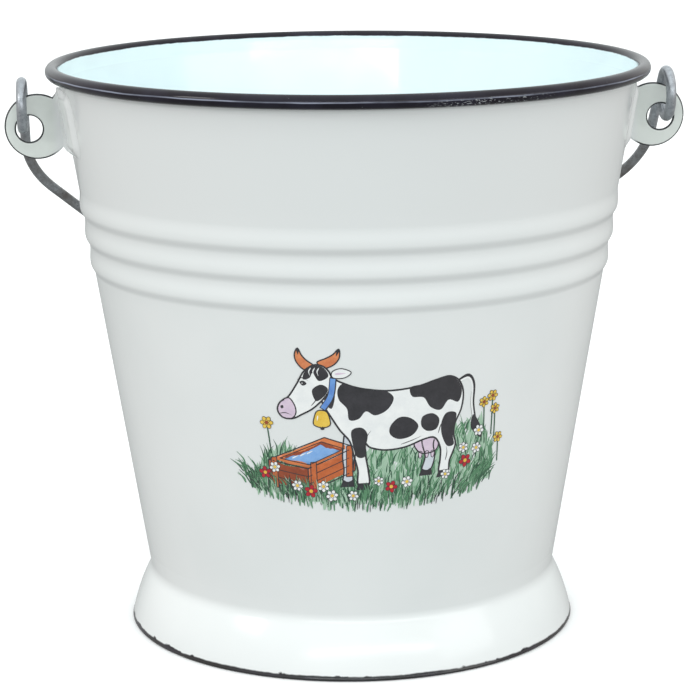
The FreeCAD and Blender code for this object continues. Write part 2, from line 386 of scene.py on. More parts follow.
ABOVE_BEADS_M = (0.178, 0.225)    # painted shade: the outside turns greyer between these heights, darker towards the top
PINHOLE_CELLS = 17.0              # per metre; one cell in seven holds a pinhole
BORDER_SOFT_M = 0.0002
CURL_OFF_WALL_M = (0.0003, 0.0008)  # this far off the wall's cone the rim turns dark
CURL_CLOSED_M = (0.2704, 0.2708)    # and above this height it is dark all round
EAR_PLATE_M = (0.1395, 0.1425)    # the ear turns from foot to plate this far from the middle
EYES_M = (0.226, 0.244)           # painted shade and stains on the bow give way to clean eye zinc between these heights
SCUFF_AZIMUTH = -70.0             # the rim is scuffed in front, to the right of the middle


def from_axis(n):
    """Distance from the pail's axis."""
    flat = n.vector("MULTIPLY", n.place, (1.0, 1.0, 0.0))
    return n.vector("LENGTH", flat, (0.0, 0.0, 0.0), "Value")


def wall_cone(n):
    """Radius of the wall's outer face, without the beads, at the height that is shaded."""
    return n.axis("Z") * WALL_TAPER + WALL_BASE_R * MM


def inside_pail(n):
    """1 on the rim's inner face and on the bottom, 0 on outer faces. It leaves out the beads."""
    within = n.math("LESS_THAN", from_axis(n), wall_cone(n) - SHEET / 2 * MM)
    return within * n.math("GREATER_THAN", n.axis("Z"), (PAN_UNDERSIDE_Z + 0.5) * MM)


def white_enamel_colour(n, inside=None):
    """Cool white, greyer outside with painted shade high up, bluer inside, drifting, with a few
    pinholes.
    """
    drift = n.ramp(n.noise(14.0), 0.3, 0.7)
    outer = n.mix(drift, OUTER_WHITE, OUTER_SHADE)
    # painted shade: the outer white turns greyer above the beads
    outer = n.mix(n.ramp(n.axis("Z"), *ABOVE_BEADS_M), outer, OUTER_PAINTED_SHADE)
    inner = n.mix(drift, INNER_WHITE, INNER_SHADE)
    white = n.mix(inside_pail(n) if inside is None else inside, outer, inner)
    chosen = n.ramp(n.axis("X", n.cells(PINHOLE_CELLS, "Color")), 0.86, 0.87)
    pinhole = n.ramp(n.cells(PINHOLE_CELLS), 0.0075, 0.012, 1.0, 0.0) * chosen
    return n.mix(pinhole, white, PINHOLE)


def enamel_relief(n):
    """Long, faint waves of dipped enamel and a fine orange peel."""
    return n.bump(n.noise(22.0, 2.0) + n.noise(420.0, 2.0) * 0.03, 0.0007, 0.4)


def enamel_gloss(n, smooth=0.13, rough=0.22):
    return n.ramp(n.noise(60.0, 4.0), 0.25, 0.75, smooth, rough)


def white_enamel(name, inside=None):
    n = material_nodes(name)
    return n.finish(white_enamel_colour(n, inside), enamel_gloss(n), enamel_relief(n), coat=0.25)


def dark_enamel_colour(n, dark):
    """Blue-black enamel that is thinner and greyer in places."""
    return n.mix(n.ramp(n.noise(45.0, 5.0, 0.6), 0.45, 0.75), dark, ENAMEL_DARK_THIN)


def wandering_height(n, wander_m):
    """Height above the ground, disturbed so that a border drawn at a height wanders."""
    return (n.axis("Z") + n.wobble(28.0, 2.0, 2.0 * wander_m)
            + n.wobble(240.0, 3.0, 0.9 * wander_m))


def painted_highlight_line(n, colour):
    """Painted highlight: a narrow, broken pale line low on the curl's outside, standing in for a
    reflection.
    """
    height = n.axis("Z") + n.wobble(35.0, 2.0, 0.0008)
    line = n.ramp(n.math("ABSOLUTE", height - HIGHLIGHT_LINE_Z * MM), 0.00012, 0.00042, 1.0, 0.0)
    outer_side = n.math("GREATER_THAN", from_axis(n), (RIM_OUTER_R - 1.0) * MM)
    broken = n.ramp(n.noise(38.0), 0.38, 0.58, 0.3, 1.0)
    return n.mix(line * broken * outer_side, colour, PAINTED_HIGHLIGHT)


def scuffed(n, colour):
    """Fine pale specks where the rim has been knocked, low on its outer side."""
    spot = Matrix.Rotation(math.radians(SCUFF_AZIMUTH), 3, "Z") @ Vector((RIM_OUTER_R, 0, 0)) * MM
    spot.z = (RIM_TOP_Z - 4.0) * MM
    near = n.ramp(n.vector("DISTANCE", n.place, tuple(spot), "Value"), 0.008, 0.036, 1.0, 0.0)
    along = n.mapped(n.place, (1.0, 1.0, 2.2))
    specks = n.ramp(n.noise(650.0, 4.0, 0.7, along), 0.58, 0.62)
    low_side = n.ramp(n.axis("Z"), (RIM_TOP_Z - 3.8) * MM, (RIM_TOP_Z - 2.4) * MM, 1.0, 0.0)
    stray = n.ramp(n.noise(1300.0), 0.74, 0.78, 0.0, 0.5)
    return n.mix(n.math("MAXIMUM", near * specks * low_side, stray), colour, BARE_SPECK)


def rim_enamel():
    """Dark on the curl, where it stands off the wall outside, and down to its inner border."""
    n = material_nodes("rim_enamel")
    border = wandering_height(n, 0.0005) - RIM_DARK_INSIDE_Z * MM
    dark_inside = n.ramp(border, -BORDER_SOFT_M, BORDER_SOFT_M)
    on_curl = n.ramp(from_axis(n) - wall_cone(n), *CURL_OFF_WALL_M)
    dark_outside = n.math("MAXIMUM", on_curl, n.ramp(n.axis("Z"), *CURL_CLOSED_M))
    within = inside_pail(n)
    dark = within * dark_inside + (1.0 - within) * dark_outside
    # the scuffs are real wear; the pale line under them is a painted highlight
    worn = scuffed(n, painted_highlight_line(n, dark_enamel_colour(n, ENAMEL_DARK)))
    colour = n.mix(dark, white_enamel_colour(n), worn)
    return n.finish(colour, enamel_gloss(n, 0.08, 0.13), enamel_relief(n), specular=0.2)


def foot_enamel():
    """White foot with a dark hem, thickest where the pail was stood to drain after dipping."""
    n = material_nodes("foot_enamel")
    border = n.ramp(n.noise(110.0, 4.0), 0.54, 0.74, 0.0, 0.0015) + FOOT_DARK_Z * MM
    dark = n.ramp(wandering_height(n, 0.0008) - border, -BORDER_SOFT_M, 2 * BORDER_SOFT_M, 1.0, 0.0)
    colour = n.mix(dark, white_enamel_colour(n), dark_enamel_colour(n, HEM_DARK))
    return n.finish(colour, enamel_gloss(n), enamel_relief(n), coat=0.12)


def ear_edge_enamel():
    """Cut edge of an ear: the dark ground coat shows on the plate, white covers the foot."""
    n = material_nodes("ear_edge_enamel")
    away = n.math("ABSOLUTE", n.axis("X"))
    on_plate = n.ramp(away + n.wobble(160.0, 2.0, 0.004), *EAR_PLATE_M)
    cover = n.ramp(n.noise(210.0, 4.0, 0.6), 0.66, 0.74)
    edge = n.mix(n.noise(300.0), linear(20, 22, 27), linear(58, 61, 64))
    colour = n.mix(on_plate * (1.0 - cover), white_enamel_colour(n), edge)
    return n.finish(colour, 0.28, enamel_relief(n))


def ear_enamel():
    """Thinner, greyer white on the ears' plates; their feet share the wall's white."""
    n = material_nodes("ear_enamel")
    away = n.math("ABSOLUTE", n.axis("X"))
    thin = n.mix(n.ramp(n.noise(70.0), 0.3, 0.7), linear(219, 225, 221), linear(206, 212, 208))
    white = n.mix(n.ramp(away, *EAR_PLATE_M), white_enamel_colour(n), thin)
    return n.finish(white, enamel_gloss(n), enamel_relief(n), coat=0.25)


def galvanised_wire():
    """Dull zinc, clean blue-grey on the eyes; lower down painted shade and patchy stains turn it
    brown-grey.
    """
    n = material_nodes("galvanised_wire")
    spangle = n.axis("X", n.cells(700.0, "Color"))
    zinc = n.mix(spangle, linear(160, 168, 176), linear(186, 193, 200))
    patchy = n.ramp(n.noise(90.0, 5.0, 0.65), 0.40, 0.66, 0.55, 1.0)
    # painted shade: darker brown-grey below the eyes, by height, with patchy stains mixed in
    shade_and_stain = n.ramp(n.axis("Z"), *EYES_M, 0.95, 0.35) * patchy
    colour = n.mix(shade_and_stain, zinc, linear(100, 93, 88))
    pits = n.ramp(n.noise(1500.0, 3.0, 0.6), 0.30, 0.42, 1.0, 0.0)
    colour = n.mix(pits * 0.5, colour, linear(60, 58, 57))
    roughness = n.ramp(n.noise(90.0, 4.0), 0.3, 0.7, 0.24, 0.4)
    relief = n.noise(700.0, 4.0, 0.6) + pits * -0.4
    return n.finish(colour, roughness, n.bump(relief, 0.00012, 0.6), metallic=0.75)


def turned_wood():
    """Beech with growth rings seen as long figure, small pores and a worn oil finish."""
    n = material_nodes("turned_wood")
    centre = (GRIP_BOX[0] + GRIP_BOX[1]) / 2 * MM
    local = n.vector("SUBTRACT", n.place, tuple(centre))
    long_grain = n.mapped(local, (0.12, 1.0, 1.0), (0.0, 0.021, 0.013))
    inputs = {"Scale": 150.0, "Distortion": 3.2, "Detail": 2.0, "Detail Scale": 1.4}
    rings = n.node("TexWave", {"Vector": long_grain, **inputs}, "Fac",
                   wave_type="RINGS", rings_direction="X")
    wobble = n.noise(60.0, vector=long_grain)
    figure = n.ramp(rings * 0.75 + wobble * 0.4, 0.15, 0.95)
    colour = n.mix(figure, linear(150, 104, 62), linear(196, 152, 102))
    fibres = n.mapped(local, (0.05, 1.0, 1.0))
    pores = n.ramp(n.noise(2600.0, 3.0, 0.6, fibres), 0.56, 0.68)
    colour = n.mix(pores * 0.55, colour, linear(98, 62, 34))
    grime = n.ramp(n.noise(45.0, 4.0, 0.6, local), 0.45, 0.75)
    colour = n.mix(grime * 0.4, colour, linear(88, 62, 42))
    roughness = n.ramp(n.noise(120.0, vector=local), 0.3, 0.7, 0.36, 0.55)
    return n.finish(colour, roughness, n.bump(pores * -0.6 + figure * 0.35, 0.00015, 0.8))


def print_ink(name, light, dark, stroke, upright):
    """Fired print colour: brush strokes between two tones under the same glaze as the wall."""
    n = material_nodes("print_" + name)
    if upright:
        strokes = n.noise(520.0, 4.0, 0.65, n.mapped(n.place, (1.0, 1.0, 0.18)))
    else:
        strokes = n.noise(190.0, 4.0, 0.65)
    brush = n.ramp(strokes, 0.5 - stroke / 3, 0.5 + stroke / 3)
    grain = n.ramp(n.noise(1700.0, 2.0), 0.2, 0.8, 0.0, 0.3)
    colour = n.mix(brush * 0.8 + grain, linear(*light), linear(*dark))
    gloss = n.ramp(n.noise(300.0), 0.3, 0.7, 0.16, 0.27)
    return n.finish(colour, gloss, enamel_relief(n), coat=0.25)


# --- Pail body ---

def bead_proud(z):
    """How far the raised beads stand out at height z: short lower flanks and long upper ones."""
    low, crest = BEAD_LOWEST_Z, 2 * BEAD_FLANK
    for pitch in BEAD_PITCHES:
        across = (z - low) / pitch + BEAD_FLANK
        if 0 <= across < 1:
            phase = across / crest if across < crest else (1 - across) / (1 - crest)
            return BEAD_HEIGHT * (1 - math.cos(math.pi * phase)) / 2
        low += pitch
    return 0.0


def wall_face(low, high, offset, step):
    """Points up the wall's face, moved out by an offset."""
    count = max(1, round((high - low) / step))
    heights = [low + (high - low) * i / count for i in range(count + 1)]
    return [(wall_radius(z) + bead_proud(z) + offset, z) for z in heights]


def wall_outline(offset):
    margin = 3.0
    bead_start = BEAD_LOWEST_Z - margin
    bead_end = BEAD_LOWEST_Z + sum(BEAD_PITCHES) + margin
    lower = wall_face(WALL_LOW_Z, bead_start, offset, 12.0)
    beads = wall_face(bead_start, bead_end, offset, 0.45)
    upper = wall_face(bead_end, WALL_TOP_Z, offset, 8.0)
    return lower[:-1] + beads + upper[1:]


def make_wall(outer_enamel, inner_enamel):
    outer, inner = wall_outline(0.0), wall_outline(-SHEET)
    vertices, faces = lathe_mesh(outer + inner[::-1], TURNS)
    first_inner_face = len(outer) * TURNS
    materials = [int(i >= first_inner_face) for i in range(len(faces))]
    placed("wall", vertices, faces, "pail", [outer_enamel, inner_enamel], ["wall_shell"],
           face_materials=materials)


def make_rim(enamel):
    """The curled rim with the last millimetres of wall under it, closed round its hidden wire."""
    roll_r = (RIM_OUTER_R - (wall_radius(RIM_TOP_Z - ROLL_MIDDLE) - SHEET)) / 2
    centre = (RIM_OUTER_R - roll_r, RIM_TOP_Z - roll_r)
    outline = [(wall_radius(WALL_TOP_Z) - SHEET, WALL_TOP_Z)]
    outline += straight_run((wall_radius(WALL_TOP_Z + 1) - SHEET, WALL_TOP_Z + 1),
                            (centre[0] - roll_r, centre[1]), 4)
    outline += arc_about(centre, roll_r, 180, ROLL_END, 48)
    outline.append((wall_radius(TUCK_Z) + 0.02, TUCK_Z))
    outline.append((wall_radius(WALL_TOP_Z), WALL_TOP_Z))
    turned_piece("rim", outline, TURNS, enamel, ["rim_roll", "rim_wire"])


def blend_curve(start, start_handle, end_handle, end, steps):
    """A cubic curve between two points, led by a handle at each."""
    points = []
    for i in range(steps + 1):
        t = i / steps
        weights = ((1 - t) ** 3, 3 * t * (1 - t) ** 2, 3 * t * t * (1 - t), t ** 3)
        controls = (start, start_handle, end_handle, end)
        points.append(tuple(sum(w * p[k] for w, p in zip(weights, controls)) for k in (0, 1)))
    return points


def make_foot(enamel):
    """Flared foot with an eased crease where it meets the wall, and a folded hem."""
    flare = arc_through(CREASE, FOOT_MID, (FOOT_R, 0.0), 40)
    top = (wall_radius(CREASE[1] + CREASE_BLEND), CREASE[1] + CREASE_BLEND)
    joined = next(i for i, point in enumerate(flare) if point[1] < CREASE[1] - CREASE_BLEND)
    end, after = flare[joined], flare[joined + 1]
    reach = (top[1] - end[1]) / 2.6     # how far each handle leads
    top_handle = (top[0] - WALL_TAPER * reach, top[1] - reach)
    end_handle = between(end, after, -reach / math.dist(end, after))
    blend = blend_curve(top, top_handle, end_handle, end, 18)
    outer = [(wall_radius(WALL_LOW_Z), WALL_LOW_Z)] + blend + flare[joined + 1:-2]
    hem_inner_r = FOOT_R - HEM_WIDTH
    hem = arc_about((FOOT_R - HEM_ROUND, HEM_ROUND), HEM_ROUND, 15, -90, 6)
    hem += arc_about((hem_inner_r + HEM_ROUND, HEM_ROUND), HEM_ROUND, -90, -180, 5)
    inner = [(hem_inner_r, 1.6), (hem_inner_r + 0.6, 2.3)]  # the hem's free edge
    inner += [(r - FOOT_SHEET, z) for r, z in flare[joined:-8][::-1] + blend[::-1]]
    inner.append((wall_radius(WALL_LOW_Z) - SHEET, WALL_LOW_Z))
    turned_piece("foot", outer + hem + inner, TURNS, enamel, ["foot_ring"])


def make_bottom(enamel):
    """Bottom pan, with its lapped flange faired into the wall by the enamel."""
    slope = math.atan(WALL_TAPER)
    corner_z = PAN_UNDERSIDE_Z + PAN_CORNER_R
    tangent_z = corner_z - PAN_CORNER_R * math.sin(slope)
    corner = (wall_radius(tangent_z) - SHEET - PAN_CORNER_R * math.cos(slope), corner_z)
    start = -math.degrees(slope)
    lip = (wall_radius(PAN_LIP_Z) - SHEET, PAN_LIP_Z)
    floor_z = PAN_UNDERSIDE_Z + PAN_SHEET
    outline = straight_run((0.0, PAN_UNDERSIDE_Z), (corner[0], PAN_UNDERSIDE_Z), 6)
    outline += arc_about(corner, PAN_CORNER_R, -90, start, 12)
    outline += [lip] + [(lip[0] - inward, lip[1] - down) for inward, down in PAN_LIP_EDGE]
    outline += arc_about(corner, PAN_CORNER_R - PAN_SHEET, start, -90, 12)
    outline += straight_run((corner[0], floor_z), (0.0, floor_z), 6)
    turned_piece("bottom", outline, PAN_TURNS, enamel, ["bottom_pan"])


# --- Ears ---

def filled(outline, holes=(), spacing=2.0, margin=0.6):
    """Triangulate an outline with holes, adding inner points so that it can be bent smoothly."""
    loops = [outline, *holes]
    points, edges = [], []
    for loop in loops:
        first = len(points)
        points += [Vector(point) for point in loop]
        edges += [(first + i, first + (i + 1) % len(loop)) for i in range(len(loop))]

    def inside(x, y):
        odd = False
        for loop in loops:
            for (ax, ay), (bx, by) in zip(loop, loop[1:] + loop[:1]):
                if (ay > y) != (by > y) and x < ax + (y - ay) * (bx - ax) / (by - ay):
                    odd = not odd
        return odd

    (low_x, high_x), (low_y, high_y) = ((min(values), max(values)) for values in zip(*outline))
    border = [tuple(point) for point in points]
    for i in range(1, int((high_x - low_x) / spacing) + 1):
        for j in range(1, int((high_y - low_y) / spacing) + 1):
            x, y = low_x + i * spacing, low_y + j * spacing
            if inside(x, y) and min(math.dist((x, y), p) for p in border) > margin:
                points.append(Vector((x, y)))
    result = delaunay_2d_cdt(points, edges, [], 1, 1e-6)
    kept = []
    for face in result[2]:
        x, y = (sum(result[0][i][k] for i in face) / 3 for k in (0, 1))
        if inside(x, y):
            kept.append(list(face))
    return [(v.x, v.y) for v in result[0]], kept


def ear_outline():
    """Flat outline of an ear: distance outward from the fold, and height."""
    low, high = EAR_FOOT_Z
    reach = EAR_BEND_R + EAR_SHEET
    corner_u = -EAR_FOLD_LENGTH - EAR_FOOT_LENGTH + EAR_CORNER_R

    def from_fold(x, z):
        return (x - wall_radius(z) - reach, z)

    disc = arc_about((EAR_DISC_X, EAR_DISC_Z), EAR_DISC_R, -140, 118, 56)
    points = [from_fold(*point) for point in disc]
    points += straight_run(points[-1], (-3.6, high), 4)[1:]
    points += arc_about((corner_u, high - EAR_CORNER_R), EAR_CORNER_R, 90, 180, 8)
    points += arc_about((corner_u, low + EAR_CORNER_R), EAR_CORNER_R, 180, 270, 8)
    points.append((-1.0, low))
    hole = arc_about((EAR_HOLE_X, EAR_HOLE_Z), EAR_HOLE_R, 0, 352.5, 47)
    return points, [from_fold(*point) for point in hole]


def ear_thickness(u, z):
    """Sheet thickness at a point of the flat ear: full, but faired out round the foot's border."""
    on_foot = min(1.0, max(0.0, (-EAR_FOLD_LENGTH - u) / 5.0))
    left, right = -EAR_FOLD_LENGTH - EAR_FOOT_LENGTH, 100.0
    low, high = EAR_FOOT_Z
    # distance to the border of a rectangle with rounded corners
    x = abs(u - (left + right) / 2) - (right - left) / 2 + EAR_CORNER_R
    y = abs(z - (low + high) / 2) - (high - low) / 2 + EAR_CORNER_R
    outside = math.hypot(max(x, 0.0), max(y, 0.0)) + min(max(x, y), 0.0) - EAR_CORNER_R
    share = min(1.0, max(0.0, -outside / EAR_FAIRING))
    faired = EAR_FOOT_EDGE + (EAR_SHEET - EAR_FOOT_EDGE) * share * share * (3 - 2 * share)
    return EAR_SHEET + (faired - EAR_SHEET) * on_foot


def ear_point(u, z, depth, side):
    """Bend the flat ear: plate, quarter-round fold, then a foot that follows the wall.

    Depth is 0 on the face that lies against the wall and grows through the sheet.
    """
    fold_x = wall_radius(z) + EAR_BEND_R + EAR_SHEET
    out = EAR_SHEET / 2 - depth
    if u >= 0:
        return (side * (fold_x + u), out, z)
    if u > -EAR_FOLD_LENGTH:
        turn = -u / EAR_FOLD_R
        return (side * (fold_x - (EAR_FOLD_R + out) * math.sin(turn)),
                -EAR_FOLD_R + (EAR_FOLD_R + out) * math.cos(turn), z)
    foot_r = wall_radius(z) + EAR_SHEET / 2
    turn = math.asin(EAR_FOLD_R / foot_r) + (-u - EAR_FOLD_LENGTH) / foot_r
    return (side * (foot_r - out) * math.cos(turn), -(foot_r - out) * math.sin(turn), z)


def inset(loop, distances, side):
    """Move each point of a closed loop sideways by its own distance."""
    moved = []
    for i, (x, y) in enumerate(loop):
        ahead, behind = loop[(i + 1) % len(loop)], loop[i - 1]
        step = side * distances[i] / math.dist(ahead, behind)
        moved.append((x - (ahead[1] - behind[1]) * step, y + (ahead[0] - behind[0]) * step))
    return moved


def edge_profile(thickness, rounding):
    """Distance in from the outline, and depth, round the cut edge from outer face to wall."""
    stations = []
    for centre, first in ((thickness - rounding, 0), (rounding, 90)):
        for turn in range(first, first + 91, 30):
            lean = math.radians(turn)
            stations.append((rounding * (1 - math.sin(lean)), centre + rounding * math.cos(lean)))
    return stations


def make_ear(name, node, side, face_enamel, edge_enamel):
    """Both faces of the sheet, joined round the outline and the hole by a rounded cut edge."""
    outline, hole = ear_outline()
    vertices, faces, borders = [], [], []
    for loop, inward in ((outline, 1), (hole, -1)):
        rounding = [min(EAR_EDGE_ROUND, 0.42 * ear_thickness(u, z)) for u, z in loop]
        border = inset(loop, rounding, inward)
        borders.append(border)
        profiles = [edge_profile(ear_thickness(*p), r) for p, r in zip(border, rounding)]
        rings = []
        for stations in zip(*profiles):
            moved = inset(loop, [station[0] for station in stations], inward)
            rings.append(range(len(vertices), len(vertices) + len(loop)))
            vertices += [ear_point(u, z, station[1], side)
                         for (u, z), station in zip(moved, stations)]
        for here, there in zip(rings, rings[1:]):
            faces += bridged(here, there)
    materials = [1] * len(faces)
    flat, triangles = filled(borders[0], borders[1:], spacing=1.1, margin=0.5)
    for depth in (lambda u, z: 0.0, ear_thickness):
        first = len(vertices)
        vertices += [ear_point(u, z, depth(u, z), side) for u, z in flat]
        faces += [[first + i for i in face] for face in triangles]
        materials += [0] * len(triangles)
    placed(name, vertices, faces, "pail", [face_enamel, edge_enamel], [node],
           sharp=45, face_materials=materials)


# --- Bail and grip ---

def hung(point):
    """Bring a point from the bail's flat building pose to the pose at rest."""
    turn = math.radians(-HANG_ANGLE)
    x, y, z = point
    return (x, y * math.cos(turn) - z * math.sin(turn),
            HINGE_Z + y * math.sin(turn) + z * math.cos(turn))


def bail_half_path():
    """Centre line from the middle of the bail to the free end of the right eye."""
    slant = math.radians(SLANT)
    shoulder_tangent = SHOULDER_R * math.tan(math.radians(90.0 - SLANT) / 2)
    middle_tangent = MIDDLE_BEND_R * math.tan(slant / 2)
    middle_x = EYE_X - (BAIL_REACH - SHOULDER_CORNER) / math.tan(slant) - middle_tangent
    plan = straight_run((0.0, BAIL_REACH), (middle_x, BAIL_REACH), 12)
    plan += arc_about((middle_x, BAIL_REACH - MIDDLE_BEND_R), MIDDLE_BEND_R, 90, 90 - SLANT, 12)
    shoulder_centre = (EYE_X - SHOULDER_R, SHOULDER_CORNER - shoulder_tangent)
    shoulder = arc_about(shoulder_centre, SHOULDER_R, 90 - SLANT, 0, 18)
    plan += straight_run(plan[-1], shoulder[0], 24) + shoulder
    plan += straight_run(shoulder[-1], (EYE_X, 0.0), 8)
    path = [(x, y, EYE_R) for x, y in without_repeats(plan, closed=False)]
    eye = arc_about((0.0, 0.0), EYE_R, 90, 90 + EYE_WRAP, 60)
    return path + [(EYE_X, y, z) for y, z in eye[1:]]


def tube_mesh(path, radius, sides, waver, chamfer):
    """Sweep a circle along a path with a carried frame, closing both ends with a chamfer."""
    points = [Vector(point) for point in path]
    last = len(points) - 1
    stations = [(0, 0.0, radius - chamfer), (0, chamfer, radius)]
    stations += [(i, 0.0, radius) for i in range(1, last)]
    stations += [(last, -chamfer, radius), (last, 0.0, radius - chamfer)]
    normal = (points[1] - points[0]).orthogonal()
    vertices, rings = [], []
    for index, along, size in stations:
        tangent = (points[min(index + 1, last)] - points[max(index - 1, 0)]).normalized()
        normal = (normal - tangent * normal.dot(tangent)).normalized()
        side = tangent.cross(normal)
        centre = points[index] + tangent * along
        rings.append(range(len(vertices), len(vertices) + sides))
        for k in range(sides):
            turn = 2 * math.pi * k / sides
            squeeze = size * (1 - waver * (1 + math.sin(index * 0.37 + 2 * turn)) / 2)
            vertices.append(centre + (normal * math.cos(turn) + side * math.sin(turn)) * squeeze)
    faces = [list(reversed(rings[0])), list(rings[-1])]
    for low, high in zip(rings, rings[1:]):
        faces += bridged(low, high)
    return vertices, faces


def make_bail(metal):
    half = bail_half_path()
    mirrored = [(-x, y, z) for x, y, z in reversed(half[1:])]
    path = [hung(point) for point in mirrored + half]
    vertices, faces = tube_mesh(path, WIRE_R, WIRE_SIDES, WIRE_WAVER, WIRE_CHAMFER)
    placed("bail", vertices, faces, "bail", [metal], ["bail_wire"], sharp=50)


def grip_outline():
    """Half section of the turned grip along its axis: barrel, two grooves by each end, bore."""
    half = (GRIP_BOX[1].x - GRIP_BOX[0].x) / 2
    middle_r = (GRIP_BOX[1].z - GRIP_BOX[0].z) / 2 - 0.02
    swell = middle_r - GRIP_END_R
    barrel_r = (half * half + swell ** 2) / (2 * swell)
    count = 220
    outline = []
    for i in range(count + 1):
        x = -half + 2 * half * i / count
        inward = half - abs(x)
        radius = middle_r - barrel_r + math.sqrt(barrel_r ** 2 - x * x)
        for groove in GROOVES_IN:
            radius -= GROOVE_SIZE * math.exp(-((inward - groove) / GROOVE_SIZE) ** 2)
        if inward < GRIP_EDGE:
            radius -= GRIP_EDGE - math.sqrt(max(0.0, GRIP_EDGE ** 2 - (GRIP_EDGE - inward) ** 2))
        outline.append((radius, x))
    mouth_r, inner_end = GRIP_BORE_R + GRIP_BORE_EDGE[0], half - GRIP_BORE_EDGE[1]
    return outline + [(mouth_r, half), (GRIP_BORE_R, inner_end), (GRIP_BORE_R, -inner_end),
                      (mouth_r, -half)]


def make_grip(wood):
    vertices, faces = lathe_mesh(without_repeats(grip_outline()), GRIP_TURNS)
    centre = (GRIP_BOX[0] + GRIP_BOX[1]) / 2
    turned = [(z, centre.y + x, centre.z + y) for x, y, z in vertices]
    faces = [face[::-1] for face in faces]
    placed("wooden_grip", turned, faces, "grip", [wood], ["grip"], sharp=50)


# --- Fired print: an own drawing of a cow at a trough in a flowering meadow ---
# Drawing coordinates are millimetres: x to the right along the wall, y up from the print's foot.

class Drawing:
    """Collects flat shapes by ink and turns each ink into one thin mesh on the wall."""

    def __init__(self):
        self.meshes = {}

    def on_wall(self, x, y, proud):
        z = PRINT_LOW_Z + y
        turn = math.radians(-90) + x / wall_radius(PRINT_MID_Z)
        r = wall_radius(z) + proud
        return (r * math.cos(turn), r * math.sin(turn), z)

    def add(self, ink, layer, outline):
        """A closed outline in one ink. Higher layers lie over lower ones."""
        spread = max(max(values) - min(values) for values in zip(*outline))
        flat, triangles = filled(outline, spacing=2.0 if spread > 5 else 50.0, margin=0.7)
        if not triangles:
            return
        vertices, faces = self.meshes.setdefault(ink, ([], []))
        first = len(vertices)
        base = first + len(flat)
        for proud in (PRINT_FACE + PRINT_LAYER * layer, PRINT_FOOT):
            vertices += [self.on_wall(x, y, proud) for x, y in flat]
        open_edges = {}
        for a, b, c in triangles:
            (ax, ay), (bx, by), (cx, cy) = flat[a], flat[b], flat[c]
            if (bx - ax) * (cy - ay) - (by - ay) * (cx - ax) < 0:
                b, c = c, b
            faces.append([first + a, first + b, first + c])
            faces.append([base + a, base + c, base + b])
            for edge in ((a, b), (b, c), (c, a)):
                if open_edges.pop(edge[::-1], None) is None:
                    open_edges[edge] = True
        for a, b in open_edges:
            faces.append([first + b, first + a, base + a, base + b])

    def blob(self, ink, layer, corners, outline_width=None):
        """A smooth closed shape through its corner points, with an optional black outline."""
        outline = closed_curve(corners)
        self.add(ink, layer, outline)
        if outline_width:
            self.closed_line(layer + 1, outline, outline_width)

    def closed_line(self, layer, outline, width):
        """A black stroke along a closed outline, lapping where it meets itself."""
        self.line("ink_black", layer, outline + outline[:2], width, taper=False, smooth=False)

    def sides(self, layer, corners, width):
        """A black stroke along each side of a polygon."""
        for start, end in zip(corners, corners[1:] + corners[:1]):
            self.line("ink_black", layer, [start, end], width, taper=False)

    def line(self, ink, layer, points, width, taper=True, smooth=True):
        """A drawn stroke. A tapering one is widest a third of the way along."""
        path = open_curve(points) if smooth else points
        left, right = [], []
        last = len(path) - 1
        for i, (x, y) in enumerate(path):
            ahead, behind = path[min(i + 1, last)], path[max(i - 1, 0)]
            size = math.dist(ahead, behind) or 1.0
            along = i / last
            half = width / 2
            if taper:
                half *= max(0.12, min(1.0, along / 0.3 + 0.35, (1 - along) / 0.55))
            dx, dy = (ahead[0] - behind[0]) / size * half, (ahead[1] - behind[1]) / size * half
            left.append((x - dy, y + dx))
            right.append((x + dy, y - dx))
        self.strip(ink, PRINT_FACE + PRINT_LAYER * layer, left, right)

    def strip(self, ink, proud, left, right):
        """A ribbon between two rows of points, built as quads so that it may turn sharply."""
        vertices, faces = self.meshes.setdefault(ink, ([], []))
        rows = []
        for a, b in zip(left, right):
            rows.append(len(vertices))
            vertices += [self.on_wall(*a, proud), self.on_wall(*b, proud),
                         self.on_wall(*b, PRINT_FOOT), self.on_wall(*a, PRINT_FOOT)]
        for a, b in zip(rows, rows[1:]):
            faces += [[a + k, b + k, b + j, a + j] for k, j in ((0, 1), (1, 2), (2, 3), (3, 0))]
        faces.append([rows[0] + k for k in (0, 1, 2, 3)])
        faces.append([rows[-1] + k for k in (3, 2, 1, 0)])


def spline_between(p0, p1, p2, p3, steps):
    """Points of a Catmull-Rom curve from p1 up to p2."""
    points = []
    for i in range(steps):
        t = i / steps
        points.append(tuple(
            0.5 * (2 * p1[k] + (p2[k] - p0[k]) * t
                   + (2 * p0[k] - 5 * p1[k] + 4 * p2[k] - p3[k]) * t * t
                   + (3 * p1[k] - p0[k] - 3 * p2[k] + p3[k]) * t ** 3)
            for k in (0, 1)))
    return points


def spline_steps(start, end, spacing):
    return max(2, min(10, round(math.dist(start, end) / spacing)))


def closed_curve(corners):
    """Smooth closed line through its corners."""
    count = len(corners)
    points = []
    for i in range(count):
        p0, p1, p2, p3 = (corners[(i + k) % count] for k in (-1, 0, 1, 2))
        points += spline_between(p0, p1, p2, p3, spline_steps(p1, p2, 0.8))
    return points


def open_curve(corners):
    """Smooth open line through its corners."""
    padded = [corners[0], *corners, corners[-1]]
    points = []
    for i, (start, end) in enumerate(zip(corners, corners[1:])):
        points += spline_between(*padded[i:i + 4], spline_steps(start, end, 0.7))
    return points + [corners[-1]]


def draw_blade(art, rng, ink, layer, x, y, height, lean, width):
    """One grass blade, rooted at (x, y)."""
    tip = (x + lean, y + height)
    middle = (x + lean * rng.uniform(0.15, 0.4), y + height * 0.55)
    art.line(ink, layer, [(x, y), middle, tip], width)


def meadow_floor(x):
    """Lower edge of the meadow, sagging in the middle."""
    return 3.5 + 8 * (x / 62) ** 2


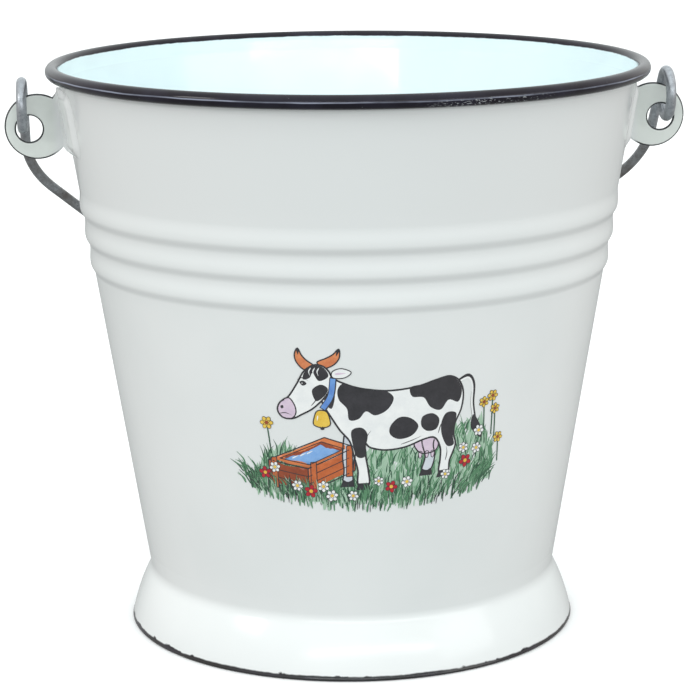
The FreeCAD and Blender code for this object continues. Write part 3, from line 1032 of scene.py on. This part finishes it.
def meadow_top(x):
    """Height that the grass reaches behind the cow, highest at the right."""
    if x < -12:
        top = 25.5 + 9.5 * math.exp(-((x + 44) / 13) ** 2)
    else:
        top = 35.5 + 10.5 * min(1, max(0, (x - 20) / 27)) ** 0.8
    return top * (1 - 0.45 * max(0, abs(x) - 51) / 10)


def draw_meadow_behind(art, rng):
    """Pale washes first, then darker blades over them."""
    for i in range(760):
        x = rng.uniform(-60, 59)
        floor, top = meadow_floor(x), meadow_top(x)
        if top - floor < 8:
            continue
        y = rng.uniform(floor + 1, top - 7)
        draw_blade(art, rng, "pale_green", 0, x, y, rng.uniform(5, 8.5), rng.uniform(-2, 2.6), 2.2)
    for i in range(760):
        x = rng.uniform(-61, 60)
        floor, top = meadow_floor(x), meadow_top(x)
        if top - floor < 6:
            continue
        y = rng.uniform(floor, top - 5.5)
        ink = rng.choice(("green", "green", "deep_green"))
        draw_blade(art, rng, ink, rng.choice((1, 2)), x, y, rng.uniform(4.5, 8.5),
                   rng.uniform(-2.6, 3.4), rng.uniform(0.45, 0.8))


def draw_meadow_front(art, rng):
    """Tufts in front of the trough and the hooves, fanning out at the ends."""
    for i in range(480):
        x = rng.uniform(-60, 54)
        floor = meadow_floor(x)
        y = floor + rng.uniform(-2.5, 5.5)
        height = rng.uniform(4.5, 9)
        lean = rng.uniform(-2.2, 3.6) + 3 * x / 60
        ink = rng.choice(("pale_green", "green", "green", "deep_green", "ink_black"))
        width = 0.34 if ink == "ink_black" else rng.uniform(0.5, 0.9)
        draw_blade(art, rng, ink, rng.choice((11, 12)), x, max(0.4, y), height, lean, width)
    for side in (-1, 1):
        for i in range(32):
            x = side * rng.uniform(50, 60) - 3.5
            y = meadow_floor(x) + rng.uniform(0, 9)
            draw_blade(art, rng, rng.choice(("green", "deep_green")), 11, x, y,
                       rng.uniform(4, 9), side * rng.uniform(2, 7), 0.6)


def ellipse(centre, length, width, angle, count):
    """Points round an ellipse whose long radius points along an angle."""
    points = []
    for j in range(count):
        turn = 2 * math.pi * j / count
        spoke = complex(length * math.cos(turn), width * math.sin(turn)) * cmath.rect(1, angle)
        points.append(((centre + spoke).real, (centre + spoke).imag))
    return points


def draw_flower(art, ink, x, y, size, petals, heart, turn, stem=0, layer=14):
    """A small open flower with outlined petals."""
    if stem:
        art.line("deep_green", layer - 1, [(x + 1.2, y - stem), (x + 0.7, y - stem / 2), (x, y)],
                 0.55, taper=False)
    for k in range(petals):
        angle = turn + 2 * math.pi * k / petals
        place = complex(x, y) + cmath.rect(0.56 * size, angle)
        petal = ellipse(place, 0.52 * size, 0.36 * size, angle, 14)
        art.add(ink, layer, petal)
        art.closed_line(layer + 1, petal, 0.22)
    art.add(heart, layer + 2, ellipse(complex(x, y), 0.3 * size, 0.3 * size, 0, 12))


def draw_trough(art):
    """Plank drinking trough, seen from its near corner."""
    near, left, back, right = (-31, 22.5), (-50, 26), (-23, 38), (-9, 33.5)
    depth = 11.5
    opening = 0.74
    low_left, low_near, low_right = ((x, y - depth) for x, y in (left, near, right))
    art.add("timber_dark", 4, [left, low_left, low_near, near])
    art.add("timber", 4, [near, low_near, low_right, right])
    art.add("timber_light", 5, [left, near, right, back])
    centre = tuple(sum(p[k] for p in (near, left, back, right)) / 4 for k in (0, 1))

    def shrunk(share, drop=0.0):
        corners = [between(centre, corner, share) for corner in (left, near, right, back)]
        return [(x, y - drop) for x, y in corners]

    art.add("timber_dark", 6, shrunk(opening))
    art.add("water", 7, shrunk(opening - 0.09, 0.7))
    for offset in (-0.22, 0.05, 0.28):
        x, y = centre[0] - 7 + 14 * offset, centre[1] - 1.6 + 5 * offset
        art.line("white", 8, [(x, y), (x + 3, y + 1.6)], 0.5)
    for edge in ((left, near), (near, right), (right, back), (back, left), (near, low_near),
                 (left, low_left), (right, low_right), (low_left, low_near), (low_near, low_right)):
        art.line("ink_black", 9, edge, 0.5, taper=False)
    art.sides(9, shrunk(opening), 0.4)
    for share in (0.34, 0.67):
        for edge in ((left, near), (near, right)):
            plank = [(x, y - depth * share) for x, y in edge]
            art.line("ink_black", 9, plank, 0.34, taper=False)
    for first, second, share in ((near, right, 0.12), (near, right, 0.88), (left, near, 0.15)):
        x, y = between(first, second, share)
        post = [(x - 1.3, y + 1.8), (x + 1.3, y + 2.1), (x + 1.5, y - depth - 1.5),
                (x - 1.5, y - depth - 1.8)]
        art.add("timber", 9, post)
        art.sides(10, post, 0.4)


FAR_FRONT_LEG = [(-13, 42), (-7.5, 40), (-9.2, 30), (-10.2, 21.5), (-10.4, 16.5),
                 (-14.6, 16.5), (-14.2, 22), (-14.8, 30)]
FAR_HIND_LEG = [(22, 42), (29, 42), (27.5, 33), (28.6, 27.5), (26.8, 20.5),
                (22.6, 20.5), (23.8, 27), (22, 34)]
BODY = [(-20, 66.5), (-15.5, 64.8), (-10, 62.6), (-4, 61.2), (6, 60.2), (18, 61.4),
        (27, 64), (33.5, 65.2), (38.2, 62.4), (40.6, 56.5), (40.2, 49), (37.6, 42),
        (37.4, 36.5), (38.6, 31.5), (36.2, 24), (35.8, 19), (31.2, 19), (31.4, 25),
        (31, 31), (28, 36), (23, 35.8), (14, 32.6), (5, 31.6), (-2, 33),
        (-4.4, 35), (-4.2, 29), (-3, 22), (-2.6, 15), (-7.6, 15), (-7.8, 22),
        (-9.6, 29), (-11.4, 36), (-15.8, 41.6), (-19.4, 47.5), (-23, 54), (-24, 60)]
HEAD = [(-19.4, 68), (-22.6, 72.2), (-27, 72.6), (-31.2, 69.4), (-34.4, 63.6), (-38.4, 57.4),
        (-42.4, 54.4), (-43.8, 50.6), (-41.6, 47.2), (-37, 46.8), (-32.6, 49), (-27.6, 52),
        (-22.6, 57), (-19.6, 62)]
MUZZLE = [(-38.6, 56.8), (-42.4, 54.4), (-43.8, 50.6), (-41.6, 47.2), (-37.4, 46.9), (-35.4, 49.6),
          (-36, 53.6)]
UDDER = [(18.5, 34.2), (24, 36.2), (29.4, 35.4), (29.8, 31.6), (27.6, 29.2), (22.4, 28.8),
         (19.4, 31)]
COAT_PATCHES = (
    [(-14, 64.2), (-9.4, 62.3), (-3.4, 61), (3.6, 60.5), (8, 56.8), (5.4, 51.2), (0, 48.6),
     (-4.2, 50.6), (-7.4, 47), (-11.6, 46.6), (-12.6, 52), (-16, 56.2), (-16.6, 61)],
    [(15.4, 61.2), (21, 62.4), (27.4, 64.1), (33.2, 65), (37.6, 62.4), (39.8, 57.6),
     (38.4, 52.4), (33.6, 53.8), (30, 49.4), (25, 51.2), (21.6, 56), (16.4, 56.8)],
    [(7, 43.4), (11, 47.2), (16.2, 46.4), (19.8, 42.4), (17, 38), (11, 36.6), (6.8, 39.2)],
    [(-10.6, 41.4), (-6.2, 42.8), (-3.4, 39.4), (-4.2, 33.4), (-4.6, 28.6), (-8.4, 28.8),
     (-10.2, 35)],
    [(-22.2, 62), (-18.8, 64), (-17.8, 58), (-19.4, 52), (-22.4, 55.4)],
    [(21.6, 46.8), (26.2, 48), (29.6, 45), (28.6, 40.4), (24.2, 39.6), (21.2, 42.4)],
    [(33, 47.6), (37.8, 47), (37.4, 41), (37, 36), (37.8, 31.8), (34.4, 31.4),
     (31.4, 37), (30.8, 43)],
)


def draw_hoof(art, layer, x, y):
    """A dark hoof under a leg that ends at (x, y)."""
    corners = [(x - 2.4, y + 0.6), (x + 2.5, y + 0.8), (x + 3, y - 2.6), (x - 3.6, y - 2.8)]
    art.add("ink_black", layer, corners)


def draw_cow(art):
    """Black and white cow in side view, looking left over the trough."""
    for leg in (FAR_FRONT_LEG, FAR_HIND_LEG):
        art.blob("shade", 5, leg, 0.7)
    draw_hoof(art, 6, -12.4, 16.5)
    draw_hoof(art, 6, 24.8, 20.5)
    art.blob("rose", 6, UDDER, 0.6)
    for x in (21.4, 24.6, 27.4):
        art.blob("rose", 6, [(x - 0.8, 29.6), (x + 0.8, 29.6), (x + 0.5, 26.8), (x - 0.5, 26.8)],
                 0.36)
    art.line("ink_black", 6, [(38.4, 62.6), (42.6, 64.4), (45.4, 60), (45.8, 51), (47.4, 43.6)],
             1.9, taper=False)
    art.line("white", 7, [(38.8, 62.4), (42.6, 63.4), (44.9, 59.4), (45.4, 51), (46.8, 44.4)],
             0.9, taper=False)
    art.blob("ink_black", 8, [(46.6, 45), (48.2, 44), (51.6, 38.4), (52.4, 33.4), (49.4, 35),
                              (46, 39.4)])
    art.blob("white", 9, BODY, 0.85)
    for patch in COAT_PATCHES:
        art.blob("ink_black", 10, patch)
    draw_hoof(art, 11, -5.1, 15)
    draw_hoof(art, 11, 33.5, 19)
    for shade in ([(12, 34), (17, 35.6), (22, 37.6)], [(29.6, 38), (30.6, 42), (33, 45.6)],
                  [(-4.6, 36), (-3.4, 39), (-1.8, 41.4)], [(34, 24.4), (34.6, 28), (34, 31.4)]):
        art.line("ink_black", 11, shade, 0.42)
    draw_cow_head(art)


def draw_cow_head(art):
    """Horns, head, muzzle, forelock, cheek, ear, eye, nostril, mouth, collar and bell."""
    for horn in ([(-30.6, 70.4), (-34, 73.8), (-34.8, 77.6), (-33.4, 80.6), (-31.8, 77.4),
                  (-29.8, 75), (-26.8, 72.4)],
                 [(-22, 71.4), (-18, 73), (-15.6, 76.4), (-15.8, 80.4), (-18.4, 77.8),
                  (-21.4, 76), (-25.2, 74)]):
        art.blob("horn", 9, horn, 0.6)
        tip, thick = horn[3], ((horn[2][0] + horn[4][0]) / 2, (horn[2][1] + horn[4][1]) / 2)
        art.line("ink_black", 11, [tip, thick], 1.1)
    art.blob("white", 11, HEAD, 0.8)
    art.blob("rose", 12, MUZZLE, 0.6)
    art.blob("ink_black", 12, [(-20.4, 67.6), (-22.8, 71.8), (-27, 72.2), (-30.8, 69.2),
                               (-31.6, 65.8), (-28.6, 66.6), (-27.2, 69), (-24.6, 65.2)])
    art.blob("ink_black", 12, [(-21.6, 62.6), (-24.4, 63.4), (-27.8, 60.6), (-26.2, 55.6),
                               (-23, 57.4), (-20.8, 60.6)])
    for x in (-24.4, -26.2, -28):
        art.line("white", 13, [(x, 71.4), (x - 0.9, 69.6), (x - 0.4, 67.6)], 0.5)
    art.blob("white", 12, [(-18.8, 69.6), (-15, 71.2), (-10.6, 69.4), (-13.6, 66.8), (-18.4, 66.8)],
             0.45)
    art.line("rose", 14, [(-17.6, 68.6), (-12.8, 69)], 1)
    art.blob("ink_black", 13, [(-33.2, 64.6), (-31.4, 65.2), (-30, 63.8), (-31.8, 62.8)])
    art.line("ink_black", 13, [(-34, 65.6), (-31.8, 66.6), (-29.4, 65.2)], 0.42)
    art.add("white", 15, [(-32.2, 64.2), (-31.8, 64.2), (-31.8, 63.8), (-32.2, 63.8)])
    art.blob("ink_black", 14, [(-42.4, 52.6), (-41.2, 53), (-41, 51.8), (-42, 51.4)])
    art.line("ink_black", 14, [(-42.8, 49), (-40.2, 49.4), (-37.4, 48.4)], 0.42)
    art.line("ink_black", 13, [(-28.4, 53.2), (-26, 56.6), (-26.6, 60)], 0.4)
    art.line("ink_black", 14, [(-18.4, 66.8), (-19.6, 58), (-23.4, 51.6)], 3.2, taper=False)
    art.line("collar", 15, [(-18.5, 66.4), (-19.7, 58), (-23.3, 52)], 2.3, taper=False)
    art.blob("yellow", 15, [(-25.8, 50.8), (-21.8, 50.6), (-20.2, 46.6), (-20.4, 43.8),
                            (-23.8, 42.8), (-27.4, 44), (-27.4, 47)], 0.5)
    art.line("white", 17, [(-25.6, 48.6), (-26, 46)], 0.6)
    art.blob("ink_black", 15, [(-24.6, 43.2), (-22.8, 43.2), (-23, 41.8), (-24.4, 41.8)])


def draw_flowers(art):
    reds = ((-52, 19.5, 2.8), (-30, 11.5, 3), (8, 13.5, 2.8), (44.5, 23, 3))
    whites = ((-47, 22.5, 2.5), (-36.5, 14, 2.5), (-24, 14, 2.6), (-20, 9.5, 2.7),
              (-10, 9.5, 2.4), (2, 16.5, 2.2), (15.5, 15.5, 2.6), (34.5, 17.5, 2.3),
              (43, 29.5, 2.4), (50, 28.5, 2.5), (50.5, 37, 2.6))
    yellows = ((-49.5, 44, 2.9, 15), (52, 50.5, 2.4, 13), (56.5, 53, 2.6, 19),
               (58.5, 46.5, 2.4, 15), (62, 32, 2.5, 12))
    for i, (x, y, size) in enumerate(reds):
        draw_flower(art, "red", x, y, size, 5, "yellow", turn=0.4 + i)
    for i, (x, y, size) in enumerate(whites):
        draw_flower(art, "white", x, y, size, 6, "yellow", turn=0.2 + 0.7 * i)
    for i, (x, y, size, stem) in enumerate(yellows):
        draw_flower(art, "yellow", x, y, size, 6, "timber_dark", stem=stem, turn=0.5 * i)


# light tone, dark tone, strength of the brush strokes, and whether they stand upright
INKS = {
    "ink_black": ((40, 40, 44), (54, 53, 58), 0.5, False),
    "white": ((238, 241, 240), (226, 230, 231), 0.5, False),
    "shade": ((214, 220, 226), (190, 198, 208), 0.6, False),
    "rose": ((222, 206, 220), (200, 182, 204), 0.6, False),
    "horn": ((226, 150, 100), (188, 100, 62), 0.7, False),
    "collar": ((112, 160, 220), (84, 126, 196), 0.5, False),
    "water": ((150, 190, 232), (100, 150, 214), 0.9, False),
    "yellow": ((236, 206, 92), (212, 170, 52), 0.6, False),
    "red": ((200, 36, 52), (152, 16, 36), 0.7, False),
    "timber": ((208, 114, 62), (170, 84, 42), 0.8, False),
    "timber_light": ((222, 134, 80), (192, 102, 56), 0.8, False),
    "timber_dark": ((160, 78, 44), (120, 54, 32), 0.8, False),
    "pale_green": ((186, 210, 192), (132, 172, 142), 0.8, True),
    "green": ((104, 152, 116), (66, 116, 82), 0.7, True),
    "deep_green": ((60, 104, 76), (36, 70, 54), 0.6, True),
}


def make_print():
    """The whole picture, one piece for each ink."""
    art = Drawing()
    rng = random.Random(7)
    draw_meadow_behind(art, rng)
    draw_trough(art)
    draw_cow(art)
    draw_meadow_front(art, rng)
    draw_flowers(art)
    for ink, (vertices, faces) in art.meshes.items():
        placed("print_" + ink, vertices, faces, "pail", [print_ink(ink, *INKS[ink])],
               ["transfer_print"], sharp=60)


# --- Stage: floor, light and camera ---

FLOOR_HALF_M = 40.0
FLOOR_GAP_M = 0.0002
FRONT_TINT = (0.955, 1.0, 1.0, 1.0)
SIDE_TINT = (1.0, 0.965, 0.94, 1.0)
SKY_LOW = 0.92
SKY_TOP = 1.75
GROUND_LIGHT = 0.5
GROUND_LIGHT_ASIDE = 0.64

# name, place, what it aims at, size, watts
AREA_LIGHTS = (
    ("left_softbox", (-1.5, -0.75, 0.95), (0.0, 0.0, 0.2), (0.45, 0.45), 5.0),
    ("right_softbox", (1.3, -0.9, 0.5), (0.0, 0.0, 0.0), (0.9, 0.6), 2.5),
    ("front_strip", (0.2, -2.3, 0.85), (0.0, 0.0, 0.2), (3.0, 0.07), 9.0),
)


def make_floor():
    half = FLOOR_HALF_M
    corners = [(-half, -half, 0), (half, -half, 0), (half, half, 0), (-half, half, 0)]
    mesh = bpy.data.meshes.new("floor")
    mesh.from_pydata(corners, [], [(0, 1, 2, 3)])
    floor = added("floor", mesh)
    floor.location.z = -FLOOR_GAP_M
    n = material_nodes("pale_floor")
    colour = n.mix(n.noise(3.0, 2.0), linear(246, 247, 247), linear(242, 243, 244))
    mesh.materials.append(n.finish(colour, 0.7))
    floor.visible_diffuse = False      # the surroundings stand in for the light it throws back
    floor.visible_glossy = False


def make_area_light(name, place, aim, size, watts):
    data = bpy.data.lights.new(name, "AREA")
    data.shape = "RECTANGLE"
    data.size, data.size_y = size
    data.energy = watts
    light = added(name, data)
    light.location = place
    light.rotation_euler = (Vector(aim) - Vector(place)).to_track_quat("-Z", "Y").to_euler()


def make_world():
    """Soft studio surroundings: bright overhead, paler in front, dimmer to the right and below."""
    world = bpy.data.worlds.new("studio")
    n = Nodes(world, "Generated")
    height, across = n.axis("Z"), n.axis("X")
    aside = n.ramp(n.math("ABSOLUTE", across), 0.3, 0.95)
    ground = n.ramp(aside, 0.0, 1.0, GROUND_LIGHT, GROUND_LIGHT_ASIDE)
    sky = n.ramp(height, 0.0, 1.0, SKY_LOW, SKY_TOP)
    above = n.ramp(height, -0.12, 0.12)
    brightness = above * sky + (1.0 - above) * ground
    front = n.ramp(n.axis("Y"), -1.0, 1.0, 1.05, 0.9)
    right = n.ramp(across, 0.0, 1.0, 1.0, 0.97)
    tint = n.mix(aside, FRONT_TINT, SIDE_TINT)
    n.fill(n.tree.nodes["Background"], {"Color": tint, "Strength": brightness * front * right})
    bpy.context.scene.world = world


# Camera: 1.21 m from the pail's axis and 0.41 m up, turned about the pail a little to the left.
CAMERA_DISTANCE_M = 1.2139
CAMERA_HEIGHT_M = 0.4066
CAMERA_AROUND = 5.5
CAMERA_DOWN = 12.72
CAMERA_ROLL = -0.43
CAMERA_LENS = 129.64
CAMERA_SENSOR = 36.0


def make_camera():
    data = bpy.data.cameras.new("camera")
    data.lens = CAMERA_LENS
    data.sensor_width = CAMERA_SENSOR
    camera = added("camera", data)
    around = Matrix.Rotation(math.radians(-CAMERA_AROUND), 4, "Z")
    stand = Matrix.Translation((0.0, -CAMERA_DISTANCE_M, CAMERA_HEIGHT_M))
    tilt = Matrix.Rotation(math.radians(90.0 - CAMERA_DOWN), 4, "X")
    roll = Matrix.Rotation(math.radians(CAMERA_ROLL), 4, "Z")
    camera.matrix_world = around @ stand @ tilt @ roll
    bpy.context.scene.camera = camera


def main():
    make_wall(white_enamel("wall_enamel", 0.0), white_enamel("inner_enamel", 1.0))
    make_bottom(white_enamel("bottom_enamel"))
    make_rim(rim_enamel())
    make_foot(foot_enamel())
    ear_face, ear_edge = ear_enamel(), ear_edge_enamel()
    make_ear("left_ear", "ear_left", -1, ear_face, ear_edge)
    make_ear("right_ear", "ear_right", 1, ear_face, ear_edge)
    make_bail(galvanised_wire())
    make_grip(turned_wood())
    make_print()
    make_floor()
    make_world()
    for light in AREA_LIGHTS:
        make_area_light(*light)
    make_camera()
    bpy.context.scene.view_settings.view_transform = "Standard"


main()
